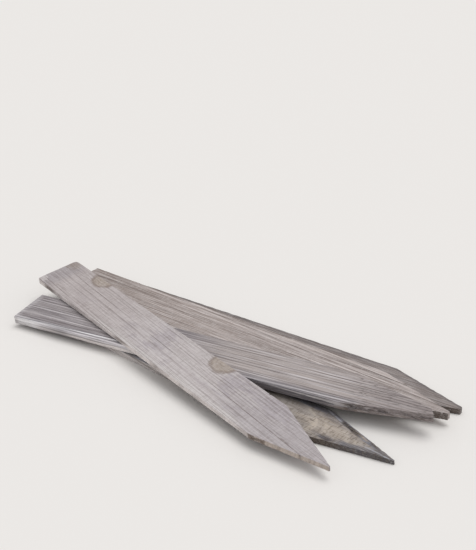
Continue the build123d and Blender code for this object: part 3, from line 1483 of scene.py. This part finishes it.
    def blank(self) -> bpy.types.Mesh:
        """Makes the stake's closed mesh before cuts and wear.

        Returns:
            The mesh, in the row frame.
        """
        ring, stations = self.section(), self.stations()
        body = self.measured.world(self.grid(ring, stations))
        columns, around = body.shape[:2]
        first = np.arange(columns - 1)[:, None] * around
        here = np.arange(around)[None, :]
        ahead = (here + 1) % around
        after = first + around
        quads = np.stack([first + here, first + ahead, after + ahead, after + here], axis=-1)
        points = [body.reshape(-1, 3)]
        faces = [quads.reshape(-1, 4)]
        for station, turned in ((stations[:1], True), (stations[-1:], False)):
            cap, cap_faces = self.cap(station, turned)
            faces.append(cap_faces + sum(len(block) for block in points))
            points.append(cap)
        mesh = bpy.data.meshes.new(self.node + "_blank")
        mesh.from_pydata(np.concatenate(points).tolist(), [], np.concatenate(faces).tolist())
        self.merge(mesh, outwards=True)
        return mesh

    def cap(self, station: np.ndarray, turned: bool) -> tuple[np.ndarray, np.ndarray]:
        """Makes the grid that closes one end.

        Args:
            station: The end's station.
            turned: Whether the faces are listed the other way round.

        Returns:
            The cap's points in the row frame, and its faces.
        """
        face, edge, _ = self.rows()
        wide, tall = np.meshgrid(face, edge)
        none = np.zeros(wide.size)
        flat = np.column_stack([wide.ravel(), tall.ravel(), none, none])
        points = self.measured.world(self.grid(flat, station))[0]
        index = np.arange(wide.size).reshape(wide.shape)
        corners = [index[:-1, :-1], index[:-1, 1:], index[1:, 1:], index[1:, :-1]]
        faces = np.stack(corners, axis=-1).reshape(-1, 4)
        return points, faces[:, ::-1] if turned else faces

    def merge(self, mesh: bpy.types.Mesh, outwards: bool = False) -> None:
        """Joins a mesh's loose faces at their shared points.

        Args:
            mesh: The mesh.
            outwards: Whether its faces are also turned outwards.
        """
        work = bmesh.new()
        work.from_mesh(mesh)
        bmesh.ops.remove_doubles(work, verts=work.verts, dist=self.MERGE)
        if outwards:
            bmesh.ops.recalc_face_normals(work, faces=work.faces)
        work.to_mesh(mesh)
        work.free()

    def added(self, suffix: str, mesh: bpy.types.Mesh) -> bpy.types.Object:
        """Adds an object to the scene, named after the stake.

        Args:
            suffix: What follows the stake's name.
            mesh: The object's mesh.

        Returns:
            The new object.
        """
        piece = bpy.data.objects.new(self.node + suffix, mesh)
        bpy.context.scene.collection.objects.link(piece)
        return piece

    def settle(self, piece: bpy.types.Object) -> None:
        """Makes a piece's modifiers part of its plain mesh.

        Args:
            piece: The stake's object.
        """
        graph = bpy.context.evaluated_depsgraph_get()
        mesh = bpy.data.meshes.new_from_object(piece.evaluated_get(graph), depsgraph=graph)
        piece.modifiers.clear()
        piece.data = mesh

    def cut(self, piece: bpy.types.Object) -> None:
        """Takes the solid's splits, chips and checks over into the blank.

        Args:
            piece: The stake's object.
        """
        mesh = self.solid().data.copy()
        self.merge(mesh)
        cutter = self.added("_cutter", mesh)
        cutting = piece.modifiers.new("cuts", "BOOLEAN")
        cutting.operation = "INTERSECT"
        cutting.solver = "EXACT"
        cutting.object = cutter
        self.settle(piece)
        bpy.data.objects.remove(cutter)

    def place_marks(self, mesh: bpy.types.Mesh) -> None:
        """Writes each point's place and margins on the mesh for the wear and the finish.

        Args:
            mesh: The stake's mesh.
        """
        points = np.empty(len(mesh.vertices) * 3)
        mesh.vertices.foreach_get("co", points)
        own = self.measured.own(points.reshape(-1, 3))
        for name, values in (("stake_frame", own), ("margin", self.measured.margins(own))):
            mark = mesh.attributes.new(name, "FLOAT_VECTOR", "POINT")
            mark.data.foreach_set("vector", values.astype(np.float32).ravel())

    def wear(self, piece: bpy.types.Object) -> None:
        """Wears the piece's rings, fibres and edges down and sets its finish.

        Args:
            piece: The stake's object.
        """
        tree = RELIEF.build()
        wearing = piece.modifiers.new("wear", "NODES")
        wearing.node_group = tree
        values = asdict(self.grain)
        values["material"] = self.finish.material(self.slot, self.measured.length, self.grain.seed)
        values |= dict.fromkeys(RELIEF.knots, self.NO_KNOT)
        for name, knot in zip(RELIEF.knots, self.finish.knots):
            values[name] = (knot.along, knot.across, knot.breadth)
        for name in RELIEF.directions:
            values[name] = tuple(getattr(self.measured, name))
        for item in tree.interface.items_tree:
            if item.in_out == "INPUT" and item.name in values:
                wearing[item.identifier] = values[item.name]
        self.settle(piece)

    def build(self) -> bpy.types.Object:
        """Builds, wears and dresses the stake, and puts it in place of its solid.

        Returns:
            The finished piece.
        """
        piece = self.added("_weathered", self.blank())
        if self.shaping is Shaping.CUT_TO_SOLID:
            self.cut(piece)
        piece.data.shade_smooth()
        self.place_marks(piece.data)
        self.wear(piece)
        piece.data.shade_smooth()
        piece.data.set_sharp_from_angle(angle=self.sharp_turn)
        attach(piece, self.body)
        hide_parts(self.node)
        return piece


@dataclass
class Studio:
    """A pale floor, soft light and the camera. Lengths are in metres, angles in degrees."""

    floor_half: float = 6.0
    floor_colour: Colour = Colour(236, 233, 229)
    floor_roughness: float = 1.0
    floor_sheen: float = 0.0
    world_colour: Colour = Colour(246, 246, 248)
    world_strength: float = 0.66
    key_strength: float = 1.25
    key_softness: float = 44.0
    key_from: tuple[float, float, float] = (0.20, 0.15, 1.0)
    camera_at: tuple[float, float, float] = (0.009218, -0.725079, 0.4178)
    camera_pitch: float = 25.72
    camera_lens: float = 80.136
    camera_sensor: float = 36.0

    LEVEL_LOOK: ClassVar[float] = 90.0

    def floor(self) -> None:
        """Lays the floor under the pile."""
        half = self.floor_half
        corners = [(-half, -half, 0.0), (half, -half, 0.0), (half, half, 0.0), (-half, half, 0.0)]
        mesh = bpy.data.meshes.new("floor")
        mesh.from_pydata(corners, [], [(0, 1, 2, 3)])
        material = bpy.data.materials.new("pale_floor")
        material.use_nodes = True
        Graph(material.node_tree).wire(material.node_tree.nodes["Principled BSDF"], {
            "Base Color": self.floor_colour.linear(),
            "Roughness": self.floor_roughness,
            "Specular IOR Level": self.floor_sheen,
        })
        mesh.materials.append(material)
        floor = bpy.data.objects.new("floor", mesh)
        bpy.context.scene.collection.objects.link(floor)

    def light(self) -> None:
        """Sets up the pale surroundings and one broad soft lamp."""
        world = bpy.data.worlds.new("studio")
        world.use_nodes = True
        background = world.node_tree.nodes["Background"]
        background.inputs["Color"].default_value = self.world_colour.linear()
        background.inputs["Strength"].default_value = self.world_strength
        bpy.context.scene.world = world
        lamp = bpy.data.lights.new("key", "SUN")
        lamp.energy = self.key_strength
        lamp.angle = math.radians(self.key_softness)
        key = bpy.data.objects.new("key", lamp)
        key.rotation_mode = "QUATERNION"
        key.rotation_quaternion = Vector(self.key_from).to_track_quat("Z", "Y")
        bpy.context.scene.collection.objects.link(key)

    def camera(self) -> None:
        """Sets up the camera at the viewing angle of the picture."""
        lens = bpy.data.cameras.new("camera")
        lens.lens = self.camera_lens
        lens.sensor_width = self.camera_sensor
        lens.sensor_fit = "AUTO"
        view = bpy.data.objects.new("camera", lens)
        view.location = self.camera_at
        view.rotation_euler = (math.radians(self.LEVEL_LOOK - self.camera_pitch), 0.0, 0.0)
        bpy.context.scene.collection.objects.link(view)
        bpy.context.scene.camera = view

    def build(self) -> None:
        """Sets up floor, light, camera and view."""
        self.floor()
        self.light()
        self.camera()
        bpy.context.scene.view_settings.view_transform = "Standard"


def top_stake() -> Stake:
    """Describes the palest stake, which lies over the others, with two knots on its far edge.

    Returns:
        The stake, measured and ready to build.
    """
    mauve, pale, chipped = Colour(172, 164, 169), Colour(208, 202, 200), Colour(84, 66, 52)
    finish = WoodFinish(
        body=Colour(202, 195, 194),
        second=Colour(194, 186, 185),
        line=Colour(108, 97, 93),
        groove=Colour(150, 139, 135),
        line_strength=0.95,
        hair_strength=0.26,
        fibre_strength=0.36,
        groove_strength=0.25,
        cross_strength=0.22,
        crest_strength=0.18,
        crack_cover=0.05,
        speck_strength=0.2,
        knots=(
            Knot(along=39.9, across=17.4, length=9.5, breadth=8.5),
            Knot(along=185.9, across=17.4, length=10.5, breadth=10.0),
        ),
        stains=(
            Patches(mauve, 0.6, breadth=9.0, length=20.0, cover=0.42),
            Patches(pale, 0.6, breadth=6.0, cover=0.42, seed=7.0),
            SawnEnd(Colour(178, 168, 166), 0.6, breadth=130.0, ragged=20.0, inner=0.5),
            SawnEnd(Colour(160, 153, 156), 0.7, breadth=20.0, ragged=8.0),
            Point(Colour(172, 165, 168), 0.65, breadth=120.0, ragged=18.0, inner=0.5),
            NearRim(Colour(216, 211, 208), 0.65, breadth=5.0, start=90.0, end=230.0, fade=30.0),
            Mark(mauve, 0.6, along=133.0, across=4.0, length=12.0, breadth=16.0),
            Mark(mauve, 0.7, along=206.0, across=8.0, length=12.0, breadth=14.0),
            Mark(mauve, 0.6, along=242.0, across=10.0, length=26.0, breadth=9.0),
            Mark(Colour(150, 137, 128), 0.7, along=4.0, across=13.0, length=8.0, breadth=7.0),
            Streak(chipped, 0.45, along=273.0, across=-6.0, slope=-0.05, length=5.0, breadth=0.6, ragged=0.2),
            NearFace(Colour(230, 222, 219), 1.0),
            Mark(Colour(220, 214, 212), 0.7, along=3.0, across=-14.0, length=6.0, breadth=5.0),
            NearFace(Colour(184, 170, 158), 0.9, start=256.0, fade=8.0),
            Streak(chipped, 0.8, along=254.0, across=-17.0, slope=0.27, length=3.2, breadth=0.7, ragged=0.7),
            Streak(chipped, 0.8, along=261.0, across=-15.4, slope=0.27, length=4.2, breadth=0.6, ragged=0.9),
        ),
    )
    grain = Grain(
        pith_across=150.0,
        pith_below=10.0,
        slope=-0.05,
        ring_spacing=2.3,
        ring_offset=0.22,
        wander=0.4,
        groove_depth=0.07,
        fibre_depth=0.05,
        edge_wear=0.08,
        seed=3.0,
    )
    return Stake("top_stake", "top", "top_wood", grain, finish, Shaping.CUT_TO_SOLID, edge_radius=0.3)


def left_stake() -> Stake:
    """Describes the blue-grey stake with the strongest ridges, which comes out on the left.

    Returns:
        The stake, measured and ready to build.
    """
    # The white streaks below are painted highlights where light catches the near top edge and the ridges of
    # the near face.
    painted_highlight, slate, split = Colour(248, 246, 247), Colour(92, 90, 97), Colour(48, 42, 41)
    warm, chipped = Colour(177, 167, 163), Colour(72, 63, 58)
    finish = WoodFinish(
        body=Colour(160, 153, 154),
        second=Colour(148, 141, 143),
        line=Colour(84, 78, 80),
        groove=Colour(116, 110, 112),
        line_strength=0.8,
        hair_strength=0.35,
        groove_strength=0.4,
        crack_cover=0.2,
        stains=(
            Patches(warm, 1.0, breadth=60.0, length=300.0, cover=1.5, start=165.0, fade=40.0),
            Patches(Colour(130, 125, 129), 0.35, breadth=3.0, length=70.0, cover=0.45, end=150.0),
            NearRim(Colour(210, 207, 211), 0.85, ragged=0.6, end=160.0),
            NearRim(Colour(150, 145, 149), 0.8, breadth=7.0, ragged=0.6, start=190.0, end=262.0),
            NearFace(Colour(248, 244, 248), 1.0),
            # Painted shade: the near face is painted dark slate from 180 to 246 mm, where the top and front
            # stakes shade it.
            NearFace(Colour(96, 95, 103), 0.9, start=180.0, end=246.0),
            # Past the shoulder the near face is painted dark brown: partly the worn point's own colour,
            # partly painted shade.
            NearFace(Colour(106, 96, 90), 0.95, start=262.0, fade=8.0),
            NearFoot(Colour(246, 239, 236), 0.95, ragged=0.8, inner=0.6, end=180.0),
            NearFoot(Colour(150, 136, 126), 0.9, breadth=3.0, ragged=0.8, start=260.0),
            NearStreak(
                slate, 0.3, along=70.0, across=4.3, slope=-0.006, length=120.0, breadth=0.7, ragged=0.5
            ),
            NearStreak(slate, 0.25, along=40.0, across=2.9, length=70.0, breadth=0.5, ragged=0.5),
            # A painted highlight on a ridge of the near face, near the point.
            NearStreak(
                painted_highlight, 0.9, along=236.0, across=4.2, slope=-0.03, length=34.0, breadth=0.6, ragged=0.3
            ),
            NearStreak(split, 0.95, along=292.0, across=2.9, length=34.0, breadth=0.9, ragged=0.6),
            Patches(Colour(92, 86, 89), 0.9, breadth=0.8, cover=0.46, end=160.0, seed=9.0),
            Patches(Colour(112, 102, 99), 0.85, breadth=1.2, length=80.0, cover=0.48, start=176.0, seed=9.0),
            Patches(Colour(216, 210, 211), 0.9, breadth=0.9, length=70.0, cover=0.47, seed=17.0),
            Streak(slate, 0.6, along=60.0, across=-12.9, slope=0.037, length=90.0, breadth=0.6, ragged=0.15),
            # A painted highlight along the near top edge.
            Streak(painted_highlight, 1.0, along=50.0, across=-14.3, slope=0.037, length=90.0, breadth=0.7, ragged=0.15),
            Streak(slate, 0.45, along=80.0, across=-14.9, slope=0.02, length=60.0, breadth=0.5, ragged=0.2),
            Streak(slate, 0.45, along=230.0, across=-12.7, slope=0.02, length=60.0, breadth=0.6, ragged=0.2),
            # A painted highlight along the near top edge, towards the point.
            Streak(painted_highlight, 0.4, along=228.0, across=-14.1, slope=0.026, length=50.0, breadth=0.6, ragged=0.15),
            Streak(slate, 0.4, along=236.0, across=-15.0, slope=0.01, length=40.0, breadth=0.5, ragged=0.2),
            SawnEnd(Colour(194, 189, 191), 0.6, breadth=5.0, ragged=3.0),
            Point(Colour(150, 140, 138), 0.7, breadth=60.0, ragged=12.0),
            Patches(chipped, 0.85, breadth=1.2, length=6.0, cover=0.42, start=262.0, fade=6.0, seed=21.0),
        ),
    )
    grain = Grain(
        pith_across=-150.0,
        pith_below=60.0,
        ring_spacing=2.2,
        ring_offset=0.43,
        wander=0.5,
        groove_depth=0.05,
        fibre_depth=0.08,
        edge_wear=0.16,
        seed=11.0,
    )
    return Stake("left_stake", "left", "left_wood", grain, finish, Shaping.CUT_TO_SOLID)


def right_stake() -> Stake:
    """Describes the warm grey stake with streaked, nearly straight grain, which lies on the right.

    Returns:
        The stake, measured and ready to build.
    """
    gleam, worn = Colour(206, 195, 190), Colour(202, 191, 187)
    finish = WoodFinish(
        body=Colour(184, 173, 169),
        second=Colour(172, 161, 157),
        line=Colour(94, 83, 77),
        groove=Colour(138, 127, 121),
        line_strength=0.85,
        hair_strength=0.5,
        fibre_strength=0.50,
        groove_strength=0.3,
        crest_strength=0.2,
        crack_cover=0.2,
        stains=(
            SawnEnd(Colour(158, 145, 138), 0.75, breadth=175.0, ragged=20.0, inner=0.7),
            Patches(Colour(158, 147, 142), 0.6, breadth=6.0, cover=0.42),
            Patches(Colour(196, 186, 182), 0.6, length=80.0, cover=0.40, seed=5.0),
            Patches(Colour(118, 106, 100), 0.85, breadth=1.5, length=70.0, cover=0.48, seed=9.0),
            Patches(Colour(222, 212, 208), 0.85, breadth=1.4, length=80.0, cover=0.48, seed=15.0),
            Streak(gleam, 0.85, along=225.0, across=16.0, length=60.0, breadth=2.6, ragged=0.6),
            Streak(worn, 0.85, along=284.0, across=10.0, slope=-0.303, length=40.0, breadth=2.2, ragged=0.6),
            FarRim(Colour(126, 114, 107), 0.85, breadth=1.3, ragged=1.4, inner=0.7, end=225.0),
            Point(Colour(160, 149, 145), 0.6, breadth=40.0, ragged=12.0),
            # The dark near face is partly the wood's own stain and partly painted shade on a face turned from
            # the light.
            NearFace(Colour(70, 58, 49), 0.95),
        ),
    )
    grain = Grain(
        pith_across=-140.0,
        pith_below=40.0,
        slope=-0.06,
        ring_spacing=3.2,
        wander=0.9,
        groove_depth=0.05,
        fibre_depth=0.07,
        edge_wear=0.14,
        seed=23.0,
    )
    return Stake("right_stake", "right", "right_wood", grain, finish)


def front_stake() -> Stake:
    """Describes the brown stake with slate stained edges, which lies in front on the floor.

    Returns:
        The stake, measured and ready to build.
    """
    slate, brown, cream = Colour(116, 118, 128), Colour(44, 35, 29), Colour(198, 185, 170)
    gleam, bare, glint = Colour(182, 185, 194), Colour(172, 158, 144), Colour(176, 180, 188)
    finish = WoodFinish(
        body=Colour(166, 158, 151),
        second=Colour(154, 146, 140),
        line=Colour(116, 106, 99),
        groove=Colour(108, 98, 88),
        line_strength=0.65,
        cross_strength=0.5,
        cross_from=215.0,
        speck_strength=0.35,
        stains=(
            Patches(Colour(182, 171, 156), 0.7, breadth=8.0, length=16.0, cover=0.45),
            Patches(Colour(122, 114, 110), 0.7, length=18.0, cover=0.40, seed=5.0),
            Mark(cream, 0.7, along=250.0, across=0.5, length=26.0, breadth=9.0, ragged=0.6),
            FarRim(slate, 0.95, breadth=8.6, ragged=1.2, inner=0.75, end=236.0, fade=14.0),
            FarRim(slate, 0.95, breadth=5.2, ragged=1.2, inner=0.7, start=236.0),
            Streak(gleam, 0.8, along=249.0, across=14.0, slope=-0.36, length=14.0, breadth=1.0, ragged=0.3),
            Streak(bare, 0.8, along=270.0, across=8.6, slope=-0.3, length=10.0, breadth=1.4, ragged=0.8),
            Streak(brown, 0.95, along=262.0, across=10.2, slope=-0.36, length=11.0, breadth=2.8, ragged=1.6),
            Streak(brown, 0.95, along=287.0, across=4.4, slope=-0.36, length=9.0, breadth=2.4, ragged=1.6),
            # Pale near rim at the left end: partly the wood's blue-grey weathering, partly painted light that
            # offsets the shade of the left and top stakes.
            NearRim(Colour(198, 201, 209), 0.85, breadth=5.0, end=170.0),
            NearRim(Colour(102, 101, 107), 0.9, breadth=5.5, ragged=1.6, start=270.0, fade=14.0),
            Point(Colour(116, 114, 117), 0.8, breadth=22.0, ragged=8.0),
            Mark(Colour(54, 52, 60), 0.95, along=257.0, across=-9.6, length=7.0, breadth=3.4, ragged=0.8),
            Streak(glint, 0.75, along=291.0, across=-0.6, length=13.0, breadth=0.9, ragged=0.3),
            # Pale near face at the left end: partly the wood's own colour, partly painted light that offsets
            # the shade of the left and top stakes.
            NearFace(Colour(212, 204, 200), 0.9, end=180.0),
            # The dark near faces towards the point are partly the wood's own brown and slate stain and partly
            # painted shade on faces turned from the light.
            NearFace(Colour(64, 54, 47), 0.95, start=220.0),
            NearFace(Colour(84, 83, 88), 0.9, start=276.0, fade=18.0),
        ),
    )
    grain = Grain(
        pith_across=-6.0,
        pith_below=60.0,
        pith_climb=0.1,
        ring_spacing=2.6,
        wander=2.0,
        groove_depth=0.14,
        fibre_depth=0.10,
        edge_wear=0.30,
        seed=37.0,
    )
    return Stake("front_stake", "front", "front_wood", grain, finish, Shaping.FOLLOW_TOP, edge_radius=0.3)


def rear_stake() -> Stake:
    """Describes the dark grey stake at the back, which lies on the floor under the right one.

    Returns:
        The stake, measured and ready to build.
    """
    finish = WoodFinish(
        body=Colour(146, 136, 132),
        second=Colour(134, 125, 122),
        line=Colour(96, 88, 84),
        groove=Colour(104, 96, 92),
        line_strength=0.85,
        hair_strength=0.6,
        fibre_strength=0.45,
        stains=(
            Patches(Colour(118, 113, 115), 0.7, cover=0.45),
            Patches(Colour(176, 165, 160), 0.35, breadth=1.2, length=70.0, cover=0.46, seed=13.0),
            FarRim(Colour(104, 98, 98), 0.8, breadth=3.0, ragged=2.4),
            # The dark near face is partly the wood's own stain and partly painted shade on a face turned from
            # the light.
            NearFace(Colour(80, 70, 63), 0.9),
        ),
    )
    grain = Grain(
        pith_across=150.0,
        pith_below=24.0,
        ring_spacing=2.4,
        wander=0.8,
        groove_depth=0.14,
        fibre_depth=0.10,
        edge_wear=0.30,
        seed=41.0,
    )
    return Stake("rear_stake", "rear", "rear_wood", grain, finish)


def main() -> None:
    """Builds the stakes from the floor up, then the studio."""
    logging.basicConfig(level=logging.INFO, format="%(name)s: %(message)s")
    for make in (front_stake, rear_stake, right_stake, left_stake, top_stake):
        stake = make()
        piece = stake.build()
        LOG.info(
            "%s: %d faces, %.1f mm long, %s",
            piece.name,
            len(piece.data.polygons),
            stake.measured.length,
            stake.shaping.value,
        )
    Studio().build()


if __name__ == "__main__":
    main()
